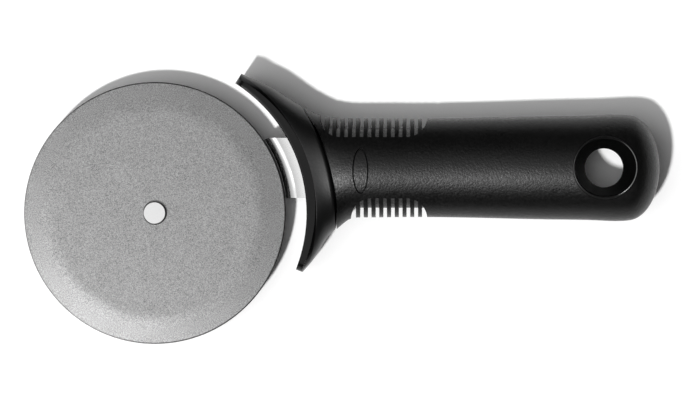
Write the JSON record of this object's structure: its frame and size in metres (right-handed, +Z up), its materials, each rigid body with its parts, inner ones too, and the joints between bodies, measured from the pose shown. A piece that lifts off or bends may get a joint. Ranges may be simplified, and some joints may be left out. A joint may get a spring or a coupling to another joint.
{
  "type": "pizza cutter wheel",
  "caption": "Pizza cutter: a free-running steel wheel on an offset arm, a hard guard concentric with the wheel and a soft finned grip with a hanging hole.",
  "frame": {"origin": "middle of the tool's bounding box in plan, on the plane that the tool lies on", "axes": "+X along the handle towards the butt with the hanging hole, +Y across the handle to the side of the guard's longer tip, +Z up along the axle, from the arm to the wheel's open face"},
  "size_m": [0.2464, 0.1048, 0.0312],
  "materials": {
    "wheel_steel": "fine matt grain on flats and bevels",
    "bush_plastic": "matte natural plastic",
    "pin_steel": "satin turned steel",
    "arm_casting": "satin die casting",
    "guard_plastic": "satin black plastic",
    "grip_rubber": "matte black soft-touch rubber",
    "core_plastic": "smooth dull black plastic"
  },
  "bodies": {
    "handle": {"axle_pin": "pin_steel", "thrust_washer": "bush_plastic", "axle_washer": "pin_steel", "arm": "arm_casting", "guard": "guard_plastic", "soft_grip": "grip_rubber", "core_upper": "core_plastic", "core_lower": "core_plastic", "tang_pins": "pin_steel"},
    "wheel": {"cutting_wheel": "wheel_steel", "wheel_bush": "bush_plastic"}
  },
  "joints": [
    {"name": "wheel_spin", "type": "hinge", "parent": "handle", "child": "wheel", "pos_m": [-0.07239, -0.00157, 0.01559], "axis": [0, 0, 1], "continuous": true}
  ]
}
